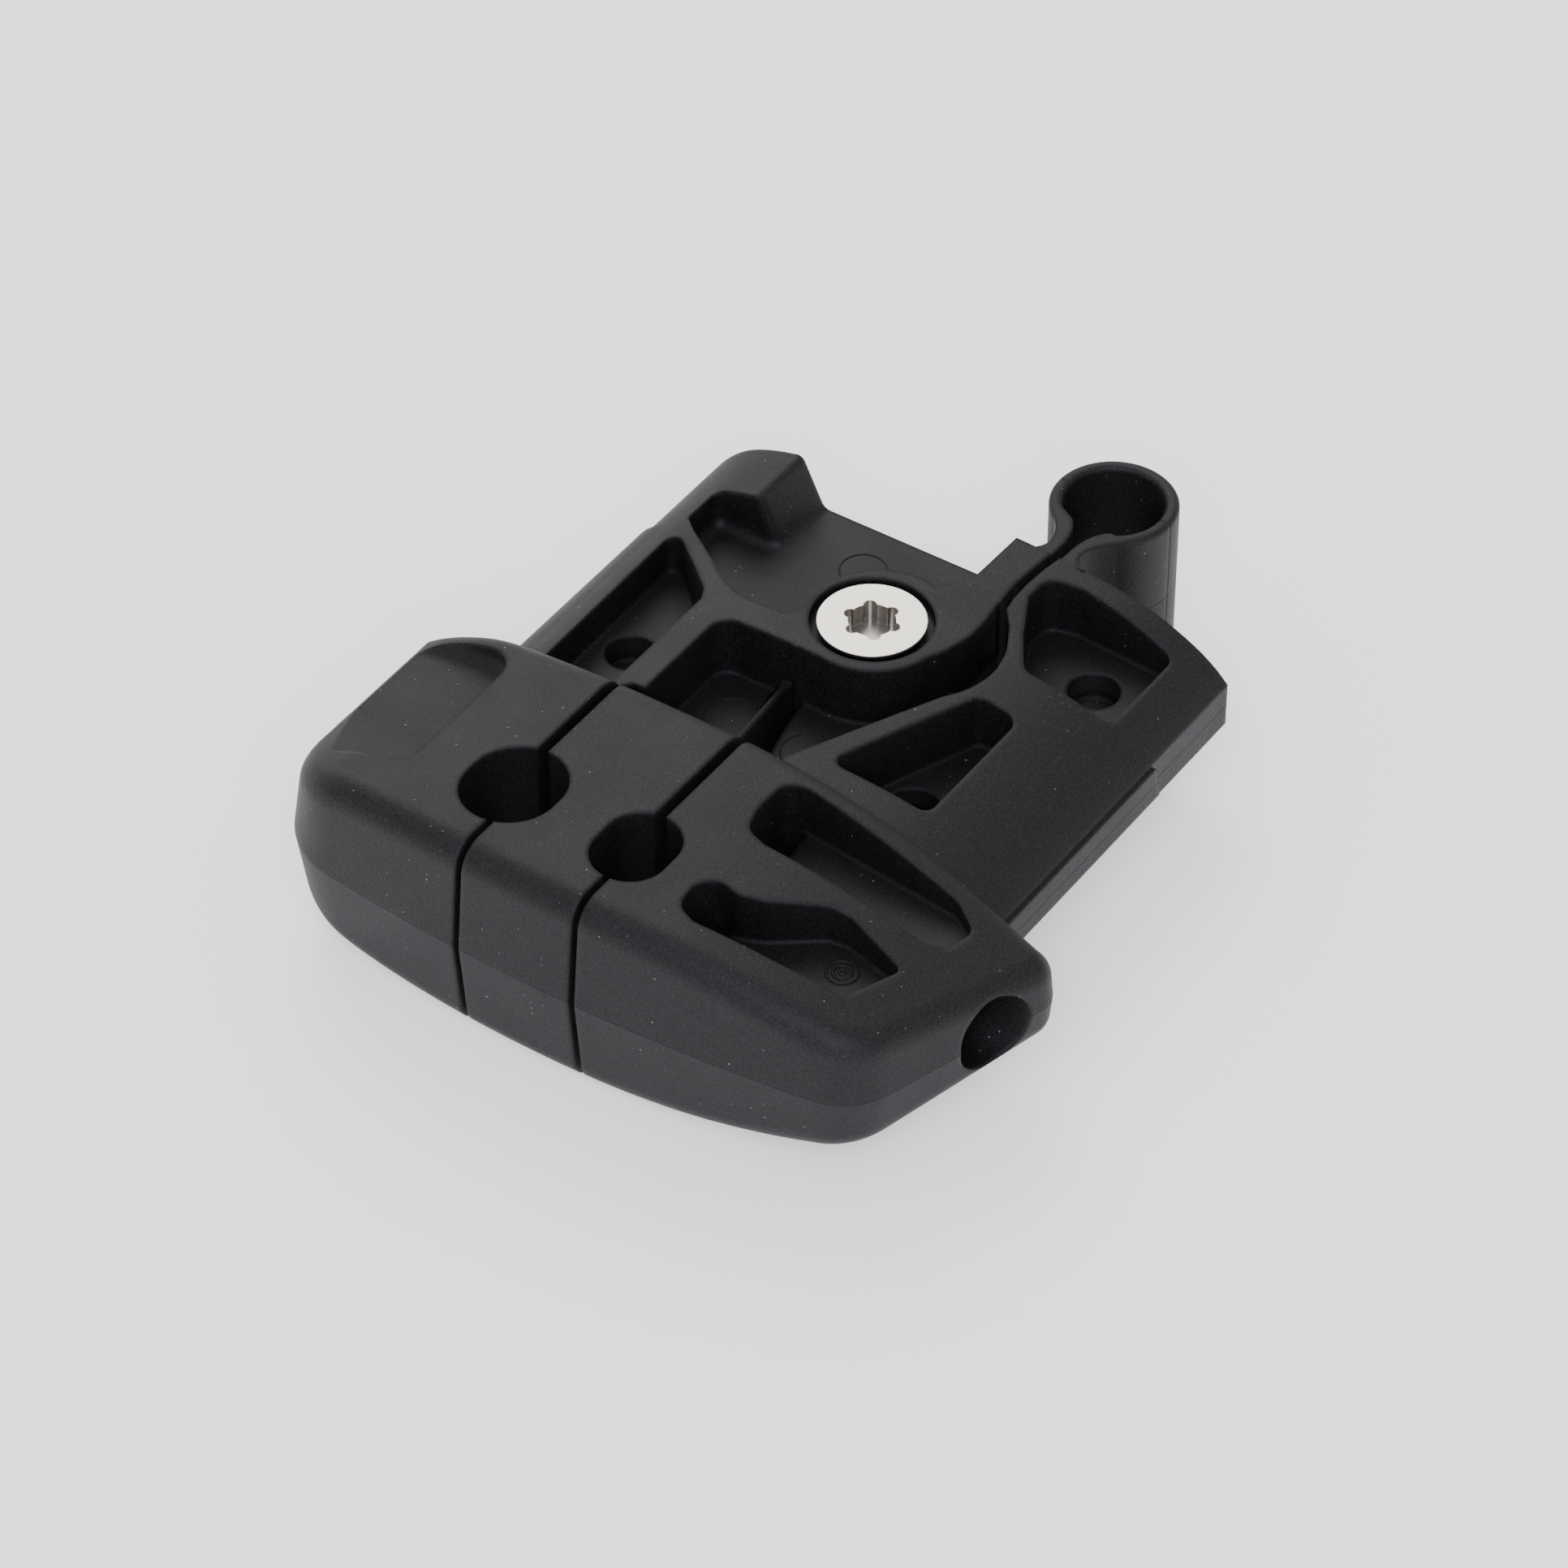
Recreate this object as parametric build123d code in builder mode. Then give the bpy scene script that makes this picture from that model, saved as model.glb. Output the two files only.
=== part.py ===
"""Spreader-end shroud clamp: a plug plate with a spring loop and three wire jaws.

Frame: X runs along the jaw bar, Y from the jaws to the spring loop, +Z up.
The origin is the bottom centre of the bounding box. Plan coordinates in the
sketches are measured from the lock screw's axis, on planes placed there.
"""
import os

from build123d import *

# ---------------------------------------------------------------- driving dimensions (mm)
SCREW_X = -0.2          # lock screw axis, seen from the origin
SCREW_Y = 8.56
BAR_HALF = 12.0         # half height of the jaw bar at its crest
PLATE_HALF = 10.2       # half height of the plug plate at its crest
WEB_HALF = 3.0          # half thickness of the web between the pockets
DRAFT_INSET = 1.3       # inset of the bar's outline over its half height
BAR_EDGE_R = 3.0        # rounding of the bar's upper and lower rim

BAR_REAR = -22.3        # rear face of the bar
BAR_LEFT = -39.0
BAR_RIGHT = 40.3
HOLE_1 = (-14.3, -42.0)     # larger wire seat, centre
HOLE_1_W = 10.3
HOLE_1_L = 11.5
HOLE_2 = (0.8, -42.7)       # smaller wire seat, centre
HOLE_2_W = 8.0
HOLE_2_L = 10.2
BORE_Y = -34.6          # blind bore in the bar's right end
BORE_R = 4.2
BORE_END_X = 13.6

LOOP = (10.0, 30.3)      # spring loop centre
LOOP_IN_R = 5.3
LOOP_OUT_R = 6.8
LOOP_HALF = 9.7

BOSS_R = 7.9
SCREW_HEAD_R = 5.65
SCREW_R = 2.95
SCREW_LEN = 20.0
SCREW_TOP = 10.15       # head face above the mid plane
NUT_AF = 10.0
NUT_H = 5.0
NUT_TOP = -3.95        # upper face of the nut, seen from the mid plane

# half heights of the two aerofoil sections, (x, half height)
BAR_SECTION = [
    (-42.0, 3.0), (-39.5, 5.2), (-37.5, 6.8), (-35.5, 8.1), (-33.0, 9.35), (-30.0, 10.5),
    (-26.0, 11.2), (-20.0, 11.7), (-8.0, 12.0), (4.0, 11.8), (14.0, 10.9), (24.0, 8.9),
    (33.0, 6.3), (42.0, 3.5),
]
PLATE_SECTION = [
    (-31.9, 2.4), (-30.8, 4.4), (-28.0, 6.6), (-20.0, 9.1), (-9.0, 10.2), (2.0, 10.2),
    (12.0, 9.7), (19.2, 8.7), (24.8, 6.8), (29.4, 4.0), (30.8, 2.6),
]

PLAN = Plane(origin=(SCREW_X, SCREW_Y, BAR_HALF))
SECTION = Plane(origin=(SCREW_X, SCREW_Y, BAR_HALF), x_dir=(1, 0, 0), z_dir=(0, -1, 0))
ACROSS = Plane(origin=(SCREW_X, SCREW_Y, BAR_HALF), x_dir=(0, 1, 0), z_dir=(1, 0, 0))
LOOP_CENTRE = (SCREW_X + LOOP[0], SCREW_Y + LOOP[1], BAR_HALF)

os.makedirs("parts", exist_ok=True)


# ---------------------------------------------------------------- shared shapes
def corner(sketch, point, radius):
    """Round the sketch vertex nearest to a plan point."""
    near = sketch.vertices().sort_by(lambda v: (v.X - point[0]) ** 2 + (v.Y - point[1]) ** 2)
    fillet(near[0], radius=radius)


def bar_outline(z, k):
    """Outline of the whole jaw bar at height z over the mid plane, inset by k."""
    with BuildSketch(PLAN.offset(z)) as outline:
        with BuildLine():
            Line((BAR_LEFT + k, BAR_REAR), (BAR_LEFT + k, -51.3 + k))
            ThreePointArc((BAR_LEFT + k, -51.3 + k), (-6.0, -54.2 + k), (32.0 - k, -51.4 + k))
            Line((32.0 - k, -51.4 + k), (BAR_RIGHT - k, -25.9))
            Line((BAR_RIGHT - k, -25.9), (20.0, -23.3))
            Line((20.0, -23.3), (2.0, BAR_REAR))
            Line((2.0, BAR_REAR), (BAR_LEFT + k, BAR_REAR))
        make_face()
        corner(outline, (BAR_LEFT + k, -51.3 + k), 10)
        corner(outline, (32.0 - k, -51.4 + k), 7)
        corner(outline, (BAR_RIGHT - k, -25.9), 2.8)
    return outline.sketch


with BuildPart() as scoop:
    # finger recess on the bar's left end: a gently sloping floor with a ramp at the front
    with BuildSketch(
        Plane(
            origin=(SCREW_X - 25.1, SCREW_Y, BAR_HALF + 8.6),
            x_dir=(0, -1, 0),
            z_dir=(-0.992, 0, -0.13),
        )
    ):
        with BuildLine():
            Polyline((25.6, 0), (37.6, 0), (45.2, 1.3), (45.2, 14), (25.6, 14), close=True)
        make_face()
    extrude(amount=22)
    inner = scoop.faces().sort_by(Axis.X)[-1].edges().filter_by(lambda e: e.length > 10)
    fillet(inner.sort_by(Axis.Y)[-1], radius=3.5)
    fillet(scoop.faces().sort_by(Axis.X)[-1].edges().sort_by(Axis.Y)[0], radius=3.0)
    foot = scoop.edges().filter_by(
        lambda e: (e @ 0.5).Z < BAR_HALF + 9
        and (e @ 0.5).Y > SCREW_Y - 34.5
        and (e @ 0.5).X > SCREW_X - 45
    )
    fillet(foot, radius=2.0)

with BuildPart() as bar_body:
    # upper half, drafted from the parting plane, cut to the aerofoil section
    loft([bar_outline(0, 0).face(), bar_outline(13, DRAFT_INSET).face()], ruled=True)
    with BuildSketch(SECTION):
        with BuildLine():
            upper = Spline(*BAR_SECTION)
            Line(upper @ 0, (upper @ 0).X * Vector(1, 0) + Vector(0, -2))
            Line((upper @ 0).X * Vector(1, 0) + Vector(0, -2), (upper @ 1).X * Vector(1, 0) + Vector(0, -2))
            Line((upper @ 1).X * Vector(1, 0) + Vector(0, -2), upper @ 1)
        make_face()
    extrude(amount=60, mode=Mode.INTERSECT)
    top = bar_body.faces().sort_by(lambda f: f.center().Z)[-1]
    rim = top.edges().filter_by(lambda e: (e @ 0.5).Y < SCREW_Y - 23.9)
    fillet(rim, radius=BAR_EDGE_R)
    # recesses of the upper half
    add(scoop.part, mode=Mode.SUBTRACT)
    with BuildSketch(PLAN.offset(5.4)) as recess_a:
        with BuildLine():
            Polyline(
                (7.2, -31.0), (7.4, -26.4), (9.6, -25.8), (28.4, -27.8), (31.6, -29.8),
                (30.9, -33.4), (28.8, -34.5), (10.6, -34.9), (8.0, -34.2), close=True,
            )
        make_face()
        for point, radius in [
            ((7.2, -31.0), 5.0), ((7.4, -26.4), 1.9), ((9.6, -25.8), 2.5), ((28.4, -27.8), 2.5),
            ((31.6, -29.8), 1.5), ((30.9, -33.4), 1.0), ((28.8, -34.5), 1.2), ((8.0, -34.2), 2.0),
        ]:
            corner(recess_a, point, radius)
    extrude(amount=10, mode=Mode.SUBTRACT)
    with BuildSketch(PLAN.offset(5.2)) as recess_b:
        with BuildLine():
            Polyline(
                (8.2, -43.4), (9.8, -41.5), (12.2, -42.0), (14.8, -41.0), (19.8, -37.3),
                (22.0, -37.0), (29.2, -38.8), (26.9, -45.6), (19.8, -46.7), (11.0, -47.7),
                (8.6, -46.8), close=True,
            )
        make_face()
        for point, radius in [
            ((8.2, -43.4), 2.5), ((9.8, -41.5), 1.6), ((12.2, -42.0), 2.0), ((14.8, -41.0), 2.0),
            ((19.8, -37.3), 1.5), ((22.0, -37.0), 1.5), ((29.2, -38.8), 0.8), ((26.9, -45.6), 1.2),
            ((8.6, -46.8), 2.0),
        ]:
            corner(recess_b, point, radius)
    extrude(amount=10, mode=Mode.SUBTRACT)
    with BuildSketch(PLAN.offset(1.5)) as pits:
        with BuildLine():
            Polyline((7.2, -31.0), (7.4, -26.4), (9.6, -25.8), (10.4, -34.8), (8.0, -34.2), close=True)
        make_face()
        with BuildLine():
            Polyline((8.2, -43.4), (9.8, -41.5), (11.4, -41.8), (11.4, -47.6), (8.6, -46.8), close=True)
        make_face()
        for point, radius in [
            ((7.2, -31.0), 5.0), ((7.4, -26.4), 1.5), ((9.6, -25.8), 0.6), ((8.0, -34.2), 2.0),
            ((8.2, -43.4), 2.5), ((9.8, -41.5), 1.6), ((11.4, -41.8), 0.4), ((8.6, -46.8), 2.0),
        ]:
            corner(pits, point, radius)
    extrude(amount=6, mode=Mode.SUBTRACT)
    mirror(about=PLAN)
    # blind bore in the right end, level with the parting plane
    with BuildSketch(ACROSS.offset(BORE_END_X)):
        with Locations((BORE_Y, 0)):
            Circle(BORE_R)
    extrude(amount=30, mode=Mode.SUBTRACT)
    # wire seats
    with BuildSketch(PLAN.offset(-14)):
        with Locations(HOLE_1):
            SlotOverall(HOLE_1_L, HOLE_1_W, rotation=90)
        with Locations(HOLE_2):
            SlotOverall(HOLE_2_L, HOLE_2_W, rotation=90)
    extrude(amount=28, mode=Mode.SUBTRACT)


def jaw_region(points):
    """Tall prism over one jaw's share of the bar."""
    with BuildPart() as region:
        with BuildSketch(PLAN.offset(-14)):
            with BuildLine():
                Polyline(*points, close=True)
            make_face()
        extrude(amount=28)
    return region.part


# the bar is cut by two slits, each wider behind its wire seat than in front of it
LEFT_JAW_AREA = [
    (-42, -15), (-15.5, -15), (-15.5, -42), (-13.5, -42), (-13.5, -60), (-42, -60),
]
MIDDLE_JAW_AREA = [
    (-14.3, -15), (-0.4, -15), (-0.4, -42), (0.5, -42), (0.5, -60), (-12.7, -60),
    (-12.7, -42), (-14.3, -42),
]
RIGHT_JAW_AREA = [
    (0.8, -15), (45, -15), (45, -60), (1.3, -60), (1.3, -42), (0.8, -42),
]

with BuildPart() as middle_jaw:
    add(bar_body.part)
    add(jaw_region(MIDDLE_JAW_AREA), mode=Mode.INTERSECT)
middle_jaw.part.label = "middle_jaw"
export_step(middle_jaw.part, "parts/middle_jaw.step")

with BuildPart() as left_jaw:
    add(bar_body.part)
    add(jaw_region(LEFT_JAW_AREA), mode=Mode.INTERSECT)

with BuildPart() as right_jaw:
    add(bar_body.part)
    add(jaw_region(RIGHT_JAW_AREA), mode=Mode.INTERSECT)


# ---------------------------------------------------------------- plug plate
def plan_prism(points, low, high, rounding=()):
    """Vertical prism over a plan polygon between two heights over the mid plane."""
    with BuildPart() as prism:
        with BuildSketch(PLAN.offset(low)) as base:
            with BuildLine():
                Polyline(*points, close=True)
            make_face()
            for point, radius in rounding:
                corner(base, point, radius)
        extrude(amount=high - low)
    return prism.part


with BuildPart() as plate_envelope:
    # aerofoil section of the plate, upper half, over its whole length
    with BuildSketch(SECTION.offset(-25)):
        with BuildLine():
            crest = Spline(*PLATE_SECTION)
            Line(crest @ 1, (30.8, 0))
            Line((30.8, 0), (-32.5, 0))
            ThreePointArc((-32.5, 0), (-32.4, 1.2), crest @ 0)
        make_face()
    extrude(amount=52)

# plan shapes of the left half
LEFT_PLATE = [
    (-33.5, -24.0), (-33.5, 19.2), (9.25, 19.2), (9.1, 17.2), (8.8, 13.8), (8.9, 11.2), (9.2, 9.2),
    (11.0, 7.1), (12.7, 3.9), (13.3, 0.7), (12.7, -2.5), (11.1, -5.3), (4.0, -20.9),
    (3.4, -21.2), (-14.8, -21.2), (-15.5, -22.0), (-15.5, -24.0),
]
LEFT_POCKET = [
    (-26.0, -22.3), (-26.5, 2.0), (-24.8, 2.0), (-17.4, -4.7), (-16.6, -6.4), (-16.6, -22.3),
]
LEFT_POCKET_ROUNDS = [((-26.5, 2.0), 0.95), ((-24.8, 2.0), 1.6), ((-17.4, -4.7), 2.0)]
HOLLOW = [
    (9.0, 9.7), (9.4, 6.5), (9.4, 3.6), (8.6, 0.6), (7.2, -2.6), (0.0, -2.6), (0.0, -7.7),
    (-13.2, -7.7), (-13.2, -23.0), (20.0, -23.0), (20.0, 9.7),
]
REAR_POCKET = [
    (-26.6, 11.0), (-26.6, 5.6), (-24.3, 3.4), (-16.4, -2.7), (-13.4, -4.1), (-8.0, -4.1),
    (-4.0, 0.0), (0.0, 4.0), (3.2, 8.8), (4.9, 12.0), (5.2, 24.0), (-18.6, 24.0), (-18.6, 11.0),
]
FLEXURE_SLOT = [
    (-6.9, -7.7), (-3.3, -7.7), (-2.4, -13.0), (-0.2, -21.5), (-3.6, -21.5), (-5.4, -14.0),
]

with BuildPart() as left_plate:
    with BuildSketch(PLAN) as plate_plan:
        with BuildLine():
            Polyline(*LEFT_PLATE, close=True)
        make_face()
        corner(plate_plan, (-33.5, 19.2), 6)
        for point in [(12.7, 3.9), (13.3, 0.7), (12.7, -2.5)]:
            corner(plate_plan, point, 7)
    extrude(amount=14)
    add(plate_envelope.part, mode=Mode.INTERSECT)
    add(plan_prism(LEFT_POCKET, WEB_HALF, 14, LEFT_POCKET_ROUNDS), mode=Mode.SUBTRACT)
    with BuildSketch(PLAN.offset(WEB_HALF)) as hollow:
        with BuildLine():
            Polyline(*HOLLOW, close=True)
        make_face()
        corner(hollow, (-13.2, -7.7), 2.2)
        corner(hollow, (9.4, 3.6), 4)
        corner(hollow, (8.6, 0.6), 4)
        Circle(BOSS_R - 0.1, mode=Mode.SUBTRACT)
    extrude(amount=14, mode=Mode.SUBTRACT)
    with BuildSketch(PLAN.offset(WEB_HALF)) as rear_pocket:
        with BuildLine():
            Polyline(*REAR_POCKET, close=True)
        make_face()
        for point, radius in [
            ((-26.6, 11.0), 1.2), ((-26.6, 5.6), 1.0), ((-24.3, 3.4), 1.0), ((-16.4, -2.7), 2.0),
            ((-13.4, -4.1), 2.0), ((3.2, 8.8), 2.0),
        ]:
            corner(rear_pocket, point, radius)
        with Locations((0.6, 0.6)):
            Circle(7.6, mode=Mode.SUBTRACT)
    extrude(amount=14, mode=Mode.SUBTRACT)
    # the rear post leans back on its inner side
    with BuildSketch(SECTION.offset(-25)):
        with BuildLine():
            Polyline((-21.5, 9.0), (-18.6, WEB_HALF), (-18.0, WEB_HALF), (-18.0, 13), (-21.5, 13), close=True)
        make_face()
    extrude(amount=14.0, mode=Mode.SUBTRACT)
    post = left_plate.edges().filter_by(
        lambda e: SCREW_X - 22 < (e @ 0.5).X < SCREW_X - 18.4
        and SCREW_Y + 10.9 < (e @ 0.5).Y < SCREW_Y + 18.9
        and (e @ 0.5).Z > BAR_HALF + WEB_HALF + 0.2
        and e.length > 2
    )
    fillet(post, radius=0.9)
    foot = left_plate.edges().filter_by(
        lambda e: SCREW_X - 19 < (e @ 0.5).X < SCREW_X - 18.2
        and SCREW_Y + 10.0 < (e @ 0.5).Y < SCREW_Y + 18.9
        and abs((e @ 0.5).Z - BAR_HALF - WEB_HALF) < 0.1
    )
    fillet(foot, radius=1.2)
    mirror(about=PLAN)
    # raised strip along the leading edge
    with BuildSketch(SECTION.offset(-4.5)):
        with BuildLine():
            strip = Spline((-32.9, 0), (-32.7, 1.6), (-31.5, 4.0), (-30.0, 5.4), (-27.8, 6.5))
            Polyline(strip @ 1, (-27.8, 3.0), (-30.0, 0), strip @ 0)
        make_face()
        mirror(about=Plane.XZ)
    extrude(amount=28.5)
    # web: screw hole and the slot that frees the jaw's flexure
    with BuildSketch(PLAN.offset(-WEB_HALF - 1)):
        with Locations((-22.1, -11.2)):
            Circle(2.2)
        with BuildLine():
            Polyline(*FLEXURE_SLOT, close=True)
        make_face()
    extrude(amount=2 * WEB_HALF + 2, mode=Mode.SUBTRACT)
    with BuildSketch(PLAN):
        with Locations((-22.1, -11.2)):
            Circle(2.7)
    extrude(amount=WEB_HALF + 1, mode=Mode.SUBTRACT)

# plan shapes of the right half
RIGHT_PLATE = [
    (10.2, 9.3), (11.7, 7.5), (13.6, 4.1), (14.3, 0.7), (13.6, -2.9), (12.0, -5.5), (4.4, -22.0),
    (4.4, -24.4), (33.0, -24.4), (33.0, 19.2), (10.35, 19.2), (10.0, 16.8), (9.8, 13.6),
    (9.9, 11.0),
]
FRONT_POCKET = [
    (14.9, -3.0), (19.7, -3.0), (19.7, -19.9), (8.0, -20.1),
]
TAIL_POCKET = [
    (10.9, 12.4), (11.0, 16.0), (14.5, 16.8), (26.2, 16.0), (26.2, 3.6), (16.4, 2.9), (13.6, 7.1),
]

with BuildPart() as right_plate:
    with BuildSketch(PLAN) as right_plan:
        with BuildLine():
            Polyline(*RIGHT_PLATE, close=True)
        make_face()
        for point in [(13.6, 4.1), (14.3, 0.7), (13.6, -2.9)]:
            corner(right_plan, point, 8)
    extrude(amount=14)
    add(plate_envelope.part, mode=Mode.INTERSECT)
    add(
        plan_prism(
            FRONT_POCKET, WEB_HALF, 14,
            [((14.9, -3.0), 1.2), ((19.7, -3.0), 1.8), ((19.7, -19.9), 1.4), ((8.0, -20.1), 1.2)],
        ),
        mode=Mode.SUBTRACT,
    )
    add(
        plan_prism(
            TAIL_POCKET, WEB_HALF, 14,
            [
                ((10.9, 12.4), 1.5), ((11.0, 16.0), 1.8), ((14.5, 16.8), 2.0), ((26.2, 16.0), 1.4),
                ((26.2, 3.6), 1.2), ((16.4, 2.9), 1.6), ((13.6, 7.1), 2.5),
            ],
        ),
        mode=Mode.SUBTRACT,
    )
    mirror(about=PLAN)
    with BuildSketch(PLAN.offset(-WEB_HALF - 1)):
        with Locations((20.3, 10.3), (14.6, -14.6)):
            Circle(2.2)
    extrude(amount=2 * WEB_HALF + 2, mode=Mode.SUBTRACT)
    with BuildSketch(PLAN):
        with Locations((20.3, 10.3), (14.6, -14.6)):
            Circle(2.75)
    extrude(amount=WEB_HALF + 1, mode=Mode.SUBTRACT)
    # raised strip along the trailing edge
    with BuildSketch(ACROSS.offset(30.4)):
        with BuildLine():
            Polyline((-24.0, -2.0), (5.6, -2.0), (4.6, 2.2), (-24.0, 2.2), close=True)
        make_face()
    extrude(amount=0.85)

# ---------------------------------------------------------------- spring loop and its arms
with BuildPart() as loop_body:
    # ring with rounded rims
    with BuildSketch(Plane(origin=LOOP_CENTRE, x_dir=(1, 0, 0), z_dir=(0, -1, 0))):
        with Locations(((LOOP_IN_R + LOOP_OUT_R) / 2, 0)):
            RectangleRounded(LOOP_OUT_R - LOOP_IN_R, 2 * LOOP_HALF, 0.6)
    revolve(axis=Axis(LOOP_CENTRE, (0, 0, 1)))
    # arms that run from the ring into the two halves
    with BuildSketch(PLAN.offset(-LOOP_HALF)):
        with BuildLine():
            outer_left = Spline((4.8, 26.4), (6.7, 24.1), (7.6, 22.6), (7.9, 20.8), (7.3, 19.6), (5.8, 19.1))
            Polyline(outer_left @ 1, (5.8, 19.0), (13.4, 19.0), (13.4, 19.2))
            outer_right = Spline((13.4, 19.2), (12.2, 19.7), (11.8, 20.9), (12.3, 22.7), (14.6, 25.4))
            Line(outer_right @ 1, outer_left @ 0)
        make_face()
        with Locations(LOOP):
            Circle(LOOP_IN_R, mode=Mode.SUBTRACT)
    extrude(amount=2 * LOOP_HALF)
    # slit between the arms
    with BuildSketch(PLAN.offset(-LOOP_HALF - 1)):
        with BuildLine():
            slit_left = Spline((6.6, 26.1), (8.2, 25.1), (9.1, 23.2), (9.35, 20.2), (9.1, 17.2))
            Line(slit_left @ 1, (10.05, 17.2))
            slit_right = Spline((10.05, 17.2), (10.5, 20.0), (10.8, 22.8), (11.7, 24.8), (13.4, 26.1))
            Line(slit_right @ 1, (10.0, 27.6))
            Line((10.0, 27.6), slit_left @ 0)
        make_face()
    extrude(amount=2 * LOOP_HALF + 2, mode=Mode.SUBTRACT)

SLIT_PATH = [(9.7, 9.0), (9.3, 13.6), (9.5, 17.0), (9.9, 20.0), (9.95, 24.0), LOOP]

with BuildPart() as left_arm:
    add(loop_body.part)
    add(plan_prism([(0, 9), *SLIT_PATH, (0, LOOP[1])], -14, 14), mode=Mode.INTERSECT)

with BuildPart() as right_arm:
    add(loop_body.part)
    add(plan_prism([(20, 9), *SLIT_PATH, (20, LOOP[1])], -14, 14), mode=Mode.INTERSECT)

with BuildPart() as spring_loop:
    add(loop_body.part)
    add(plan_prism([(0, LOOP[1]), (20, LOOP[1]), (20, 40), (0, 40)], -14, 14), mode=Mode.INTERSECT)
spring_loop.part.label = "spring_loop"
export_step(spring_loop.part, "parts/spring_loop.step")

# ---------------------------------------------------------------- the two halves
with BuildPart() as left_half:
    add(left_plate.part)
    add(left_arm.part)
    add(left_jaw.part)
    # countersunk seat, clearance hole and captive nut pocket in the boss
    with BuildSketch(PLAN.offset(-14)):
        Circle(3.2)
    extrude(amount=28, mode=Mode.SUBTRACT)
    with BuildSketch(PLAN.offset(8.9)):
        Circle(6.45)
    extrude(amount=4, mode=Mode.SUBTRACT)
    with BuildSketch(PLAN.offset(6.9)):
        Circle(3.2)
    with BuildSketch(PLAN.offset(8.9)):
        Circle(5.2)
    loft(mode=Mode.SUBTRACT)
    with BuildSketch(PLAN.offset(-14)):
        RegularPolygon(NUT_AF / 2 + 0.08, 6, major_radius=False)
    extrude(amount=14 + NUT_TOP + 0.05, mode=Mode.SUBTRACT)
left_half.part.label = "left_half"
export_step(left_half.part, "parts/left_half.step")

with BuildPart() as right_half:
    add(right_plate.part)
    add(right_arm.part)
    add(right_jaw.part)
right_half.part.label = "right_half"
export_step(right_half.part, "parts/right_half.step")

# ---------------------------------------------------------------- flexure of the middle jaw
with BuildPart() as jaw_flexure:
    # thin curved blade from the boss wall to the middle jaw's rear corner, its edges rising
    with BuildSketch(PLAN.offset(-10)):
        with BuildLine():
            near_side = Spline((-5.9, -7.7), (-4.9, -12.0), (-3.6, -17.0), (-2.4, BAR_REAR))
            Line(near_side @ 1, (-1.0, BAR_REAR))
            far_side = Spline((-1.0, BAR_REAR), (-2.3, -17.0), (-3.5, -12.0), (-4.1, -7.7))
            Line(far_side @ 1, near_side @ 0)
        make_face()
    extrude(amount=20)
    with BuildSketch(ACROSS.offset(-10)):
        with BuildLine():
            Polyline((-7.0, -5.4), (-22.4, -9.6), (-22.4, 9.6), (-7.0, 5.4), close=True)
        make_face()
    extrude(amount=14, mode=Mode.INTERSECT)
jaw_flexure.part.label = "jaw_flexure"
export_step(jaw_flexure.part, "parts/jaw_flexure.step")

# ---------------------------------------------------------------- lock screw and nut
with BuildPart() as lock_screw:
    # countersunk head, 90 degrees, with a six-lobe drive
    with BuildSketch(PLAN.offset(SCREW_TOP)) as head_face:
        Circle(SCREW_HEAD_R)
    extrude(amount=-0.35)
    with BuildSketch(PLAN.offset(SCREW_TOP - 0.35)):
        Circle(SCREW_HEAD_R)
    with BuildSketch(PLAN.offset(SCREW_TOP - 0.35 - (SCREW_HEAD_R - SCREW_R))):
        Circle(SCREW_R)
    loft()
    with BuildSketch(PLAN.offset(SCREW_TOP - 0.35 - (SCREW_HEAD_R - SCREW_R))):
        Circle(SCREW_R)
    extrude(amount=-(SCREW_LEN - 0.35 - (SCREW_HEAD_R - SCREW_R)))
    chamfer(lock_screw.edges().group_by(Axis.Z)[0], length=0.5)
    with BuildSketch(PLAN.offset(SCREW_TOP - 2.3)):
        Circle(2.45)
        with PolarLocations(2.42, 6, start_angle=8):
            Circle(0.66)
    extrude(amount=3, mode=Mode.SUBTRACT)
lock_screw.part.label = "lock_screw"
export_step(lock_screw.part, "parts/lock_screw.step")

with BuildPart() as lock_nut:
    with BuildSketch(PLAN.offset(NUT_TOP - NUT_H)):
        RegularPolygon(NUT_AF / 2, 6, major_radius=False)
        Circle(SCREW_R + 0.05, mode=Mode.SUBTRACT)
    extrude(amount=NUT_H)
lock_nut.part.label = "lock_nut"
export_step(lock_nut.part, "parts/lock_nut.step")
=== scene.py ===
"""Looks for the spreader end clamp: black moulded nylon, a steel screw, a pale studio floor.

Lengths are in metres, in the CAD model's frame. S(x, y, z) takes millimetres
from the lock screw's axis and the moulding's middle plane, as the design does.
"""
import math

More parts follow.
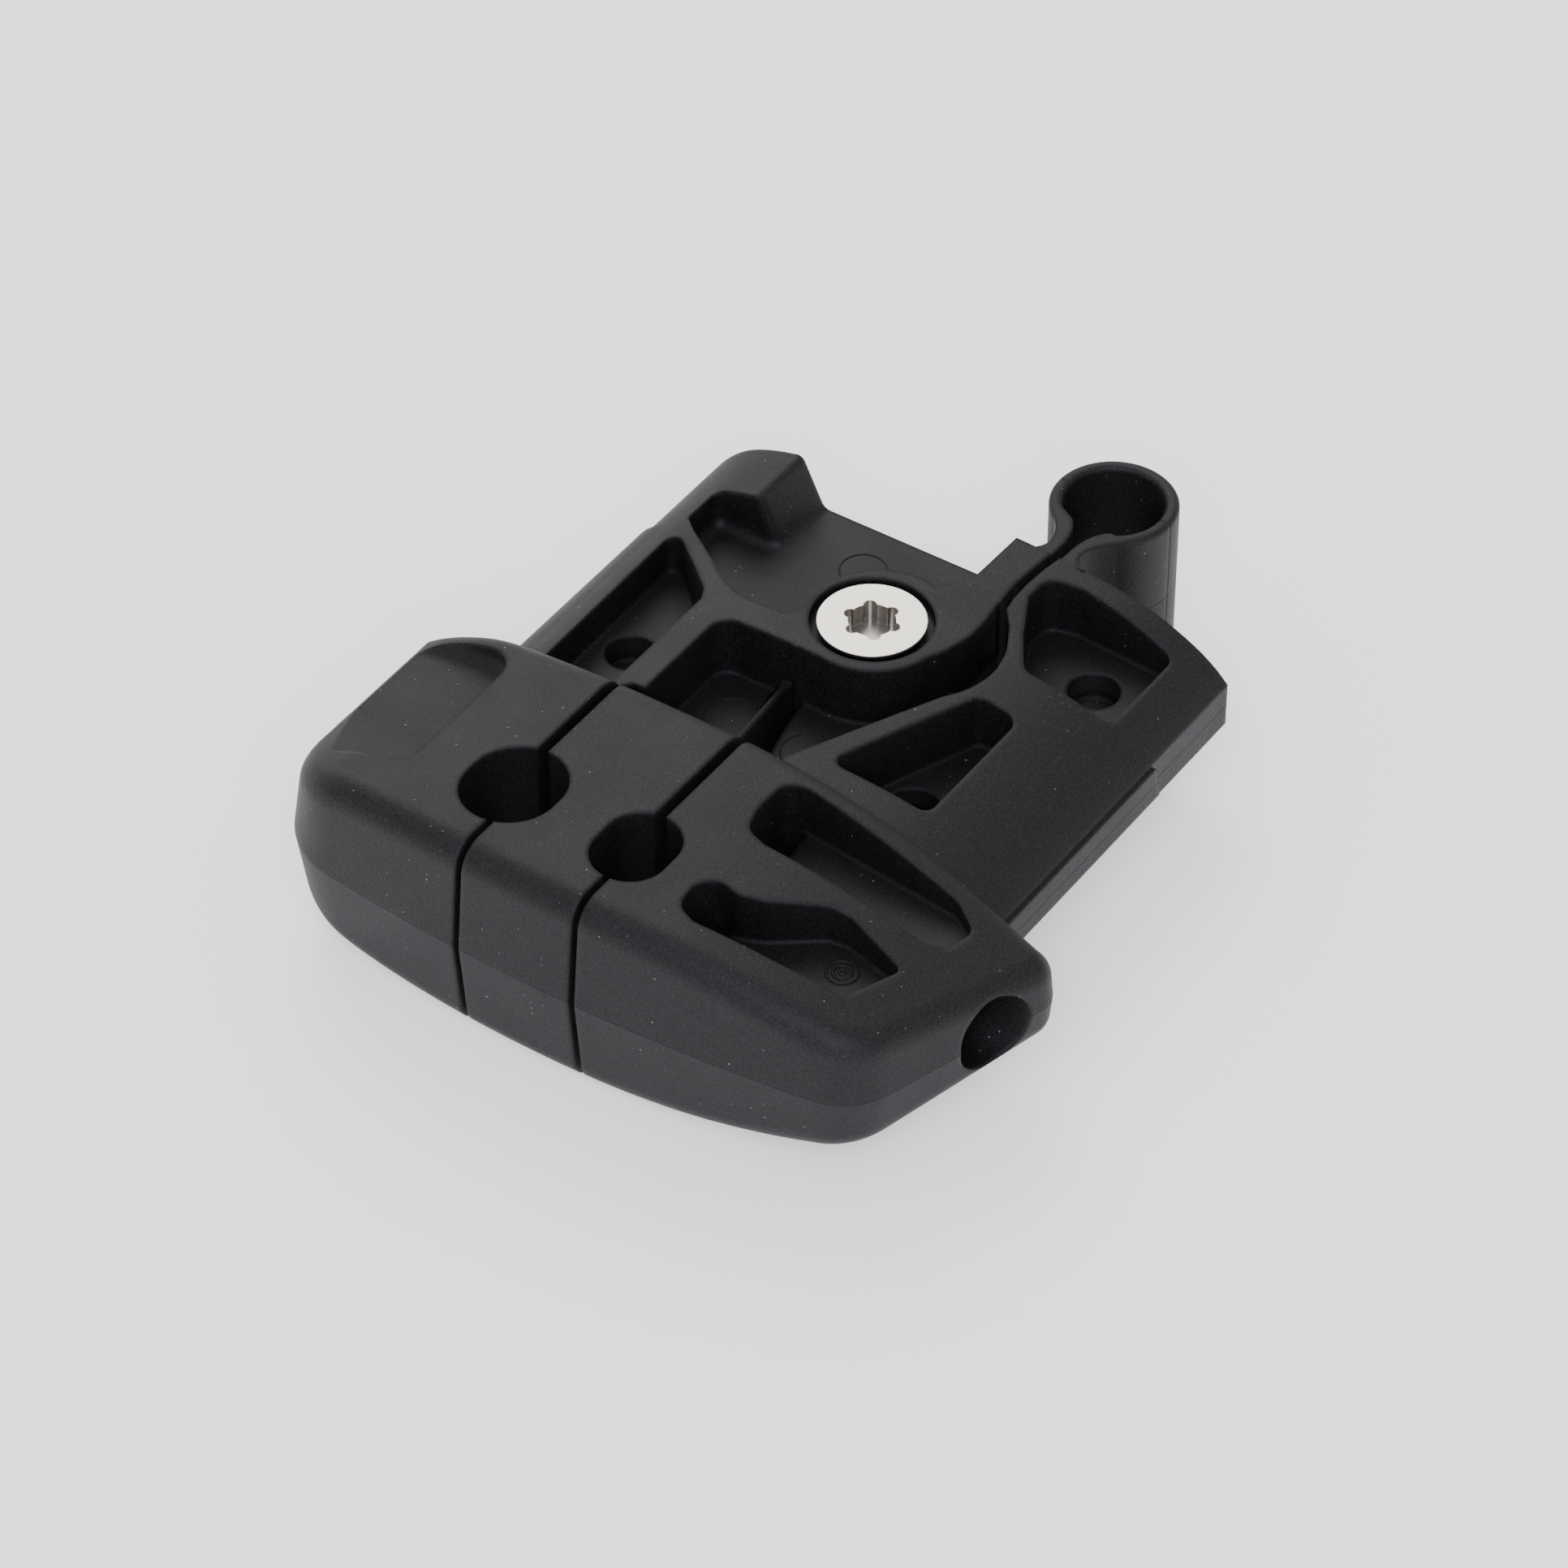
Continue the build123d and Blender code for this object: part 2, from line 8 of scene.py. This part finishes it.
import bmesh
import bpy
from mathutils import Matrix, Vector


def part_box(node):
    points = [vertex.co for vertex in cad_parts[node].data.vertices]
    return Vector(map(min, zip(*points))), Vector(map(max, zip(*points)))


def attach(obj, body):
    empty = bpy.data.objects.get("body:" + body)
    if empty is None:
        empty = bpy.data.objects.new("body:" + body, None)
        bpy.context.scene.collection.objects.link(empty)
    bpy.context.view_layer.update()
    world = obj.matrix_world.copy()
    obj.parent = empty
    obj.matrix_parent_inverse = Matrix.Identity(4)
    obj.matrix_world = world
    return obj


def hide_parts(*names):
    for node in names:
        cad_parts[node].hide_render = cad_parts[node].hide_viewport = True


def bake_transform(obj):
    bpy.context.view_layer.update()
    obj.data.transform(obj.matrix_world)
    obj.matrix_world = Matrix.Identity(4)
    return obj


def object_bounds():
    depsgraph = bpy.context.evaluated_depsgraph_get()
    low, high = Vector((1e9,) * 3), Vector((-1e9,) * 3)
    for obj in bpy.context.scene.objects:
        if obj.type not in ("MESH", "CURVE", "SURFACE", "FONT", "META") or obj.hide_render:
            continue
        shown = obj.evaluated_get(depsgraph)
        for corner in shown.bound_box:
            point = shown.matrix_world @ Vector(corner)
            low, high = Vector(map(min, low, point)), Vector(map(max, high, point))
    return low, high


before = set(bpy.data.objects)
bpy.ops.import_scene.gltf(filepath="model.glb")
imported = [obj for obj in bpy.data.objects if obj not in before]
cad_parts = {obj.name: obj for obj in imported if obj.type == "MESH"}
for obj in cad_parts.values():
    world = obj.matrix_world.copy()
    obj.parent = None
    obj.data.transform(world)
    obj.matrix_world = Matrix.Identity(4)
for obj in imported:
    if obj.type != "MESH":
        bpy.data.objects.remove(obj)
cad_low, cad_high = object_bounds()

MM = 0.001
SCREW_LOW, SCREW_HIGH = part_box("lock_screw")
SCREW_AXIS = (SCREW_LOW + SCREW_HIGH) / 2
MIDDLE_PLANE = (cad_low[2] + cad_high[2]) / 2

# spring ring and jaw blade, millimetres from the screw axis
RING_CENTRE = (10.0, 30.3)
RING_INNER = 5.3
RING_OUTER = 6.8
RING_HALF_HEIGHT = 9.7
RING_RIM = 0.6
BLADE_START_Y = -7.7
BLADE_END_Y = -22.3
BLADE_HALF_WIDTH = 0.46
BLADE_ROOT_HEIGHT = 5.2     # half height at the boss
BLADE_RISE = 4.2            # gained by the time it reaches the jaw
BLADE_RIM = 0.38

# how finely the built pieces are divided
RING_STEPS = 72
BLADE_STEPS = 40
MARK_STEPS = 64
MARK_SIDES = 10

# grain of the moulding, features per metre
GRAIN_SCALE = 4200.0
CLOUD_SCALE = 140.0
DUST_CELL_SCALE = 1400.0
DUST_CUTOFF = 0.68          # cells below this hold no dust
DUST_GROWTH = 0.40

# camera
AIM_MM = (0.2, -16.2, 0.0)
CAMERA_DISTANCE = 0.658
AZIMUTH = 34.1
ELEVATION = 42.1
LENS = 150


def S(x, y, z=0.0):
    """A point given in millimetres from the screw axis and the middle plane."""
    return Vector((SCREW_AXIS.x + x * MM, SCREW_AXIS.y + y * MM, MIDDLE_PLANE + z * MM))


AIM = S(*AIM_MM)


# ---------------------------------------------------------------- materials
def node_tools(name):
    """A new material with its tree, its Principled shader and a short way to add nodes."""
    material = bpy.data.materials.new(name)
    material.use_nodes = True
    tree = material.node_tree
    shader = tree.nodes["Principled BSDF"]

    def add(kind, **inputs):
        node = tree.nodes.new(kind)
        for key, value in inputs.items():
            node.inputs[key.replace("_", " ")].default_value = value
        return node

    return material, tree, shader, add


def maths(tree, operation, first, second=None, third=None):
    """A Math node; arguments are sockets or numbers. Returns its output socket."""
    node = tree.nodes.new("ShaderNodeMath")
    node.operation = operation
    for index, value in enumerate((first, second, third)):
        if value is None:
            continue
        if isinstance(value, (int, float)):
            node.inputs[index].default_value = value
        else:
            tree.links.new(value, node.inputs[index])
    return node.outputs[0]


def nylon(name, edge_radius):
    """Black glass-filled nylon: fine speckled grain, pale dust, rounded edges, a parting line darkened by
    painted shade.
    """
    material, tree, shader, add = node_tools(name)
    links = tree.links
    shader.inputs["Specular IOR Level"].default_value = 0.28
    shader.inputs["Specular Tint"].default_value = (0.95, 0.95, 1.0, 1.0)
    place = add("ShaderNodeTexCoord").outputs["Object"]

    grain = add("ShaderNodeTexNoise", Scale=GRAIN_SCALE, Detail=2.0, Roughness=0.6)
    links.new(place, grain.inputs["Vector"])
    cloud = add("ShaderNodeTexNoise", Scale=CLOUD_SCALE, Detail=4.0, Roughness=0.6)
    links.new(place, cloud.inputs["Vector"])

    # dust: a few pale points, one to a cell at most
    cells = add("ShaderNodeTexVoronoi", Scale=DUST_CELL_SCALE)
    cells.inputs["Randomness"].default_value = 1.0
    links.new(place, cells.inputs["Vector"])
    chosen = add("ShaderNodeSeparateColor")
    links.new(cells.outputs["Color"], chosen.inputs["Color"])
    excess = maths(tree, "SUBTRACT", chosen.outputs[0], DUST_CUTOFF)
    size = maths(tree, "MULTIPLY", excess, DUST_GROWTH)
    dust = maths(tree, "LESS_THAN", cells.outputs["Distance"], size)
    dust = maths(tree, "MULTIPLY", dust, chosen.outputs[1])

    # parting line of the mould on the middle plane: a shallow groove in the relief and painted shade in
    # the colour
    split = add("ShaderNodeSeparateXYZ")
    links.new(place, split.inputs["Vector"])
    height = maths(tree, "ABSOLUTE", maths(tree, "SUBTRACT", split.outputs["Z"], MIDDLE_PLANE))
    line = add("ShaderNodeMapRange")
    line.interpolation_type = "SMOOTHSTEP"
    line.inputs["From Min"].default_value = 0.04 * MM
    line.inputs["From Max"].default_value = 0.13 * MM
    line.inputs["To Min"].default_value = 1.0
    line.inputs["To Max"].default_value = 0.0
    links.new(height, line.inputs["Value"])

    # colour
    base = add("ShaderNodeMix")
    base.data_type = "RGBA"
    base.inputs[6].default_value = (0.0010, 0.0010, 0.0012, 1)
    base.inputs[7].default_value = (0.0130, 0.0130, 0.0135, 1)
    speck = add("ShaderNodeMapRange")
    speck.inputs["From Min"].default_value = 0.38
    speck.inputs["From Max"].default_value = 0.66
    links.new(grain.outputs["Fac"], speck.inputs["Value"])
    patches = maths(tree, "MULTIPLY", cloud.outputs["Fac"], 0.25)
    mottle = maths(tree, "MULTIPLY_ADD", speck.outputs[0], 0.75, patches)
    links.new(mottle, base.inputs[0])
    dusty = add("ShaderNodeMix")
    dusty.data_type = "RGBA"
    dusty.inputs[7].default_value = (0.26, 0.25, 0.24, 1)
    links.new(dust, dusty.inputs[0])
    links.new(base.outputs[2], dusty.inputs[6])
    # painted shade: the colour goes darker along the parting line, where the groove's shadow falls
    painted_parting_shade = add("ShaderNodeMix")
    painted_parting_shade.data_type = "RGBA"
    painted_parting_shade.inputs[7].default_value = (0.004, 0.004, 0.004, 1)
    links.new(line.outputs[0], painted_parting_shade.inputs[0])
    links.new(dusty.outputs[2], painted_parting_shade.inputs[6])
    links.new(painted_parting_shade.outputs[2], shader.inputs["Base Color"])

    # roughness
    rough = add("ShaderNodeMapRange")
    rough.inputs["To Min"].default_value = 0.46
    rough.inputs["To Max"].default_value = 0.62
    links.new(cloud.outputs["Fac"], rough.inputs["Value"])
    links.new(rough.outputs[0], shader.inputs["Roughness"])

    # relief: rounded edges, then the grain, then the parting line as a shallow groove
    bevel = add("ShaderNodeBevel", Radius=edge_radius * MM)
    bevel.samples = 6
    groove = maths(tree, "MULTIPLY", line.outputs[0], 2.0)
    relief = maths(tree, "SUBTRACT", grain.outputs["Fac"], groove)
    bump = add("ShaderNodeBump", Strength=0.9, Distance=0.06 * MM)
    links.new(relief, bump.inputs["Height"])
    links.new(bevel.outputs[0], bump.inputs["Normal"])
    links.new(bump.outputs[0], shader.inputs["Normal"])
    return material


def steel(name, roughness, tint, top=None):
    """Stainless steel with a fine blasted grain and faint smudges; painted shade makes it darker in a
    recess below top.
    """
    material, tree, shader, add = node_tools(name)
    links = tree.links
    shader.inputs["Metallic"].default_value = 1.0
    place = add("ShaderNodeTexCoord").outputs["Object"]
    smudge = add("ShaderNodeTexNoise", Scale=420.0, Detail=5.0, Roughness=0.65)
    links.new(place, smudge.inputs["Vector"])
    grain = add("ShaderNodeTexNoise", Scale=5200.0, Detail=2.0)
    links.new(place, grain.inputs["Vector"])
    colour = add("ShaderNodeMix")
    colour.data_type = "RGBA"
    colour.inputs[6].default_value = (tint[0] * 0.8, tint[1] * 0.78, tint[2] * 0.75, 1)
    colour.inputs[7].default_value = (*tint, 1)
    links.new(smudge.outputs["Fac"], colour.inputs[0])
    shade = colour.outputs[2]
    # painted shade: the colour darkens towards the bottom of a recess below top, such as the screw's drive
    if top is not None:
        split = add("ShaderNodeSeparateXYZ")
        links.new(place, split.inputs["Vector"])
        recess_shade_mask = add("ShaderNodeMapRange")
        recess_shade_mask.inputs["From Min"].default_value = top - 1.9 * MM
        recess_shade_mask.inputs["From Max"].default_value = top - 0.15 * MM
        links.new(split.outputs["Z"], recess_shade_mask.inputs["Value"])
        painted_recess_shade = add("ShaderNodeMix")
        painted_recess_shade.data_type = "RGBA"
        painted_recess_shade.inputs[6].default_value = (0.34, 0.32, 0.30, 1)
        links.new(recess_shade_mask.outputs[0], painted_recess_shade.inputs[0])
        links.new(shade, painted_recess_shade.inputs[7])
        shade = painted_recess_shade.outputs[2]
    links.new(shade, shader.inputs["Base Color"])
    rough = add("ShaderNodeMapRange")
    rough.inputs["To Min"].default_value = roughness - 0.08
    rough.inputs["To Max"].default_value = roughness + 0.1
    links.new(smudge.outputs["Fac"], rough.inputs["Value"])
    links.new(rough.outputs[0], shader.inputs["Roughness"])
    bevel = add("ShaderNodeBevel", Radius=0.15 * MM)
    bump = add("ShaderNodeBump", Strength=0.35, Distance=0.02 * MM)
    links.new(grain.outputs["Fac"], bump.inputs["Height"])
    links.new(bevel.outputs[0], bump.inputs["Normal"])
    links.new(bump.outputs[0], shader.inputs["Normal"])
    return material


NYLON = nylon("nylon", 0.75)
NYLON_THIN = nylon("nylon_thin", 0.25)
SCREW_STEEL = steel("screw_steel", 0.3, (0.60, 0.57, 0.52), SCREW_HIGH.z)
NUT_STEEL = steel("nut_steel", 0.42, (0.72, 0.71, 0.69))


def dress(node, material):
    """Give a CAD node its material."""
    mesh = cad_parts[node].data
    mesh.materials.clear()
    mesh.materials.append(material)


for moulded in ("left_half", "right_half", "middle_jaw", "jaw_flexure", "spring_loop"):
    dress(moulded, NYLON)
dress("lock_screw", SCREW_STEEL)
dress("lock_nut", NUT_STEEL)


# ---------------------------------------------------------------- pieces
def finish_piece(name, builder, material):
    """Turn a bmesh into a shown object with smooth shading."""
    mesh = bpy.data.meshes.new(name)
    bmesh.ops.recalc_face_normals(builder, faces=builder.faces)
    builder.to_mesh(mesh)
    builder.free()
    for face in mesh.polygons:
        face.use_smooth = True
    piece = bpy.data.objects.new(name, mesh)
    bpy.context.scene.collection.objects.link(piece)
    mesh.materials.append(material)
    return piece


def rounded_rectangle(centre, half_width, half_height, rim, corner_steps):
    """A section's outline about centre, its corners rounded by rim, as (across, height) in millimetres."""
    points = []
    for side, end, start in ((1, 1, 0), (-1, 1, 90), (-1, -1, 180), (1, -1, 270)):
        for step in range(corner_steps + 1):
            angle = math.radians(start + step * 90 / corner_steps)
            points.append((
                centre + side * (half_width - rim) + rim * math.cos(angle),
                end * (half_height - rim) + rim * math.sin(angle),
            ))
    return points


def skin(builder, rows):
    """Join rows of vertices, all alike in number, into a closed body with flat ends."""
    count = len(rows[0])
    for first, second in zip(rows, rows[1:]):
        for i in range(count):
            j = (i + 1) % count
            builder.faces.new((first[i], first[j], second[j], second[i]))
    builder.faces.new(rows[0])
    builder.faces.new(list(reversed(rows[-1])))


def spring_ring():
    """The elastic half ring that joins the two arms, with enough steps to bend smoothly."""
    builder = bmesh.new()
    middle = (RING_INNER + RING_OUTER) / 2
    half = (RING_OUTER - RING_INNER) / 2
    profile = rounded_rectangle(middle, half, RING_HALF_HEIGHT, RING_RIM, 6)
    rows = []
    for step in range(RING_STEPS + 1):
        angle = math.pi * step / RING_STEPS
        rows.append([
            builder.verts.new(
                S(RING_CENTRE[0] + r * math.cos(angle), RING_CENTRE[1] + r * math.sin(angle), z)
            )
            for r, z in profile
        ])
    skin(builder, rows)
    piece = finish_piece("spring_ring", builder, NYLON_THIN)
    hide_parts("spring_loop")
    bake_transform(piece)


def jaw_blade():
    """The middle jaw's elastic blade: curved in plan, its edges rising to the jaw, with soft rims."""
    builder = bmesh.new()
    rows = []
    for step in range(BLADE_STEPS + 1):
        t = step / BLADE_STEPS
        y = BLADE_START_Y + (BLADE_END_Y - BLADE_START_Y) * t
        centre = -5.0 + 3.3 * t ** 1.15
        flare = 0.3 * max(0.0, 1 - t / 0.16) ** 2 + 0.3 * max(0.0, (t - 0.86) / 0.14) ** 2
        half = BLADE_HALF_WIDTH - 0.05 * math.sin(math.pi * t) + flare
        top = BLADE_ROOT_HEIGHT + BLADE_RISE * t ** 1.3 + 0.25 * max(0.0, 1 - t / 0.14) ** 2
        outline = rounded_rectangle(centre, half, top, BLADE_RIM, 4)
        rows.append([builder.verts.new(S(x, y, z)) for x, z in outline])
    skin(builder, rows)
    piece = finish_piece("jaw_blade", builder, NYLON_THIN)
    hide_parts("jaw_flexure")
    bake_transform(piece)


def ring_mark(name, body, centre, radii, wire=0.1):
    """Shallow raised rings left by an ejector pin or the gate, half sunk in the face they stand on."""
    builder = bmesh.new()
    for radius in radii:
        rows = []
        for step in range(MARK_STEPS):
            a = 2 * math.pi * step / MARK_STEPS
            row = []
            for k in range(MARK_SIDES):
                b = 2 * math.pi * k / MARK_SIDES
                r = radius + wire * math.cos(b)
                row.append(builder.verts.new(S(
                    centre[0] + r * math.cos(a),
                    centre[1] + r * math.sin(a),
                    centre[2] + wire * math.sin(b),
                )))
            rows.append(row)
        for i in range(MARK_STEPS):
            for k in range(MARK_SIDES):
                builder.faces.new((
                    rows[i][k], rows[(i + 1) % MARK_STEPS][k],
                    rows[(i + 1) % MARK_STEPS][(k + 1) % MARK_SIDES], rows[i][(k + 1) % MARK_SIDES],
                ))
    piece = finish_piece(name, builder, NYLON_THIN)
    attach(piece, body)


spring_ring()
jaw_blade()
ring_mark("ejector_mark_a", "left", (-7.9, -13.6, 3.0), (2.9,))
ring_mark("ejector_mark_b", "left", (-9.7, 13.1, 3.0), (2.5,))
ring_mark("ejector_mark_c", "left", (1.5, -13.7, 3.0), (2.9,))
ring_mark("gate_mark", "right", (23.3, -40.3, 5.2), (1.6, 0.95, 0.3), 0.16)


# ---------------------------------------------------------------- stage, lights and camera
def studio():
    """White surroundings and a pale floor that the object stands on."""
    world = bpy.data.worlds.new("studio")
    bpy.context.scene.world = world
    world.use_nodes = True
    world.node_tree.nodes["Background"].inputs["Color"].default_value = (1.0, 1.0, 1.0, 1)
    world.node_tree.nodes["Background"].inputs["Strength"].default_value = 0.8

    bpy.ops.mesh.primitive_plane_add(size=6, location=(0, 0, cad_low[2]))
    floor = bpy.context.object
    floor.name = "floor"
    paint = bpy.data.materials.new("floor_paint")
    paint.use_nodes = True
    shader = paint.node_tree.nodes["Principled BSDF"]
    shader.inputs["Base Color"].default_value = (0.93, 0.93, 0.93, 1)
    shader.inputs["Roughness"].default_value = 0.9
    shader.inputs["Specular IOR Level"].default_value = 0.1
    shader.inputs["Emission Color"].default_value = (1, 1, 1, 1)
    shader.inputs["Emission Strength"].default_value = 0.65
    floor.data.materials.append(paint)


def soft_light(name, place, size, power, colour=(1, 1, 1)):
    """A large area light aimed at the object."""
    data = bpy.data.lights.new(name, "AREA")
    data.shape = "RECTANGLE"
    data.size = size[0]
    data.size_y = size[1]
    data.energy = power
    data.color = colour
    light = bpy.data.objects.new(name, data)
    bpy.context.scene.collection.objects.link(light)
    light.location = place
    light.rotation_euler = (Vector(AIM) - Vector(place)).to_track_quat("-Z", "Y").to_euler()


def camera():
    """The photo's view: a long lens aimed at the object from its azimuth and elevation."""
    data = bpy.data.cameras.new("camera")
    data.lens = LENS
    data.sensor_width = 36
    data.clip_start = 0.05
    seat = bpy.data.objects.new("camera", data)
    bpy.context.scene.collection.objects.link(seat)
    az, el = math.radians(AZIMUTH), math.radians(ELEVATION)
    forward = Vector((-math.sin(az) * math.cos(el), math.cos(az) * math.cos(el), -math.sin(el)))
    seat.location = Vector(AIM) - CAMERA_DISTANCE * forward
    seat.rotation_euler = forward.to_track_quat("-Z", "Y").to_euler()
    bpy.context.scene.camera = seat


studio()
soft_light("rear_left", (-0.42, 0.40, 0.60), (0.5, 0.5), 3.6)
soft_light("front_left", (-0.45, -0.65, 0.40), (0.35, 0.35), 0.15, (0.90, 0.92, 1.0))
soft_light("camera_side", (0.33, -0.50, 0.58), (0.4, 0.4), 4.5, (0.85, 0.88, 1.0))
camera()
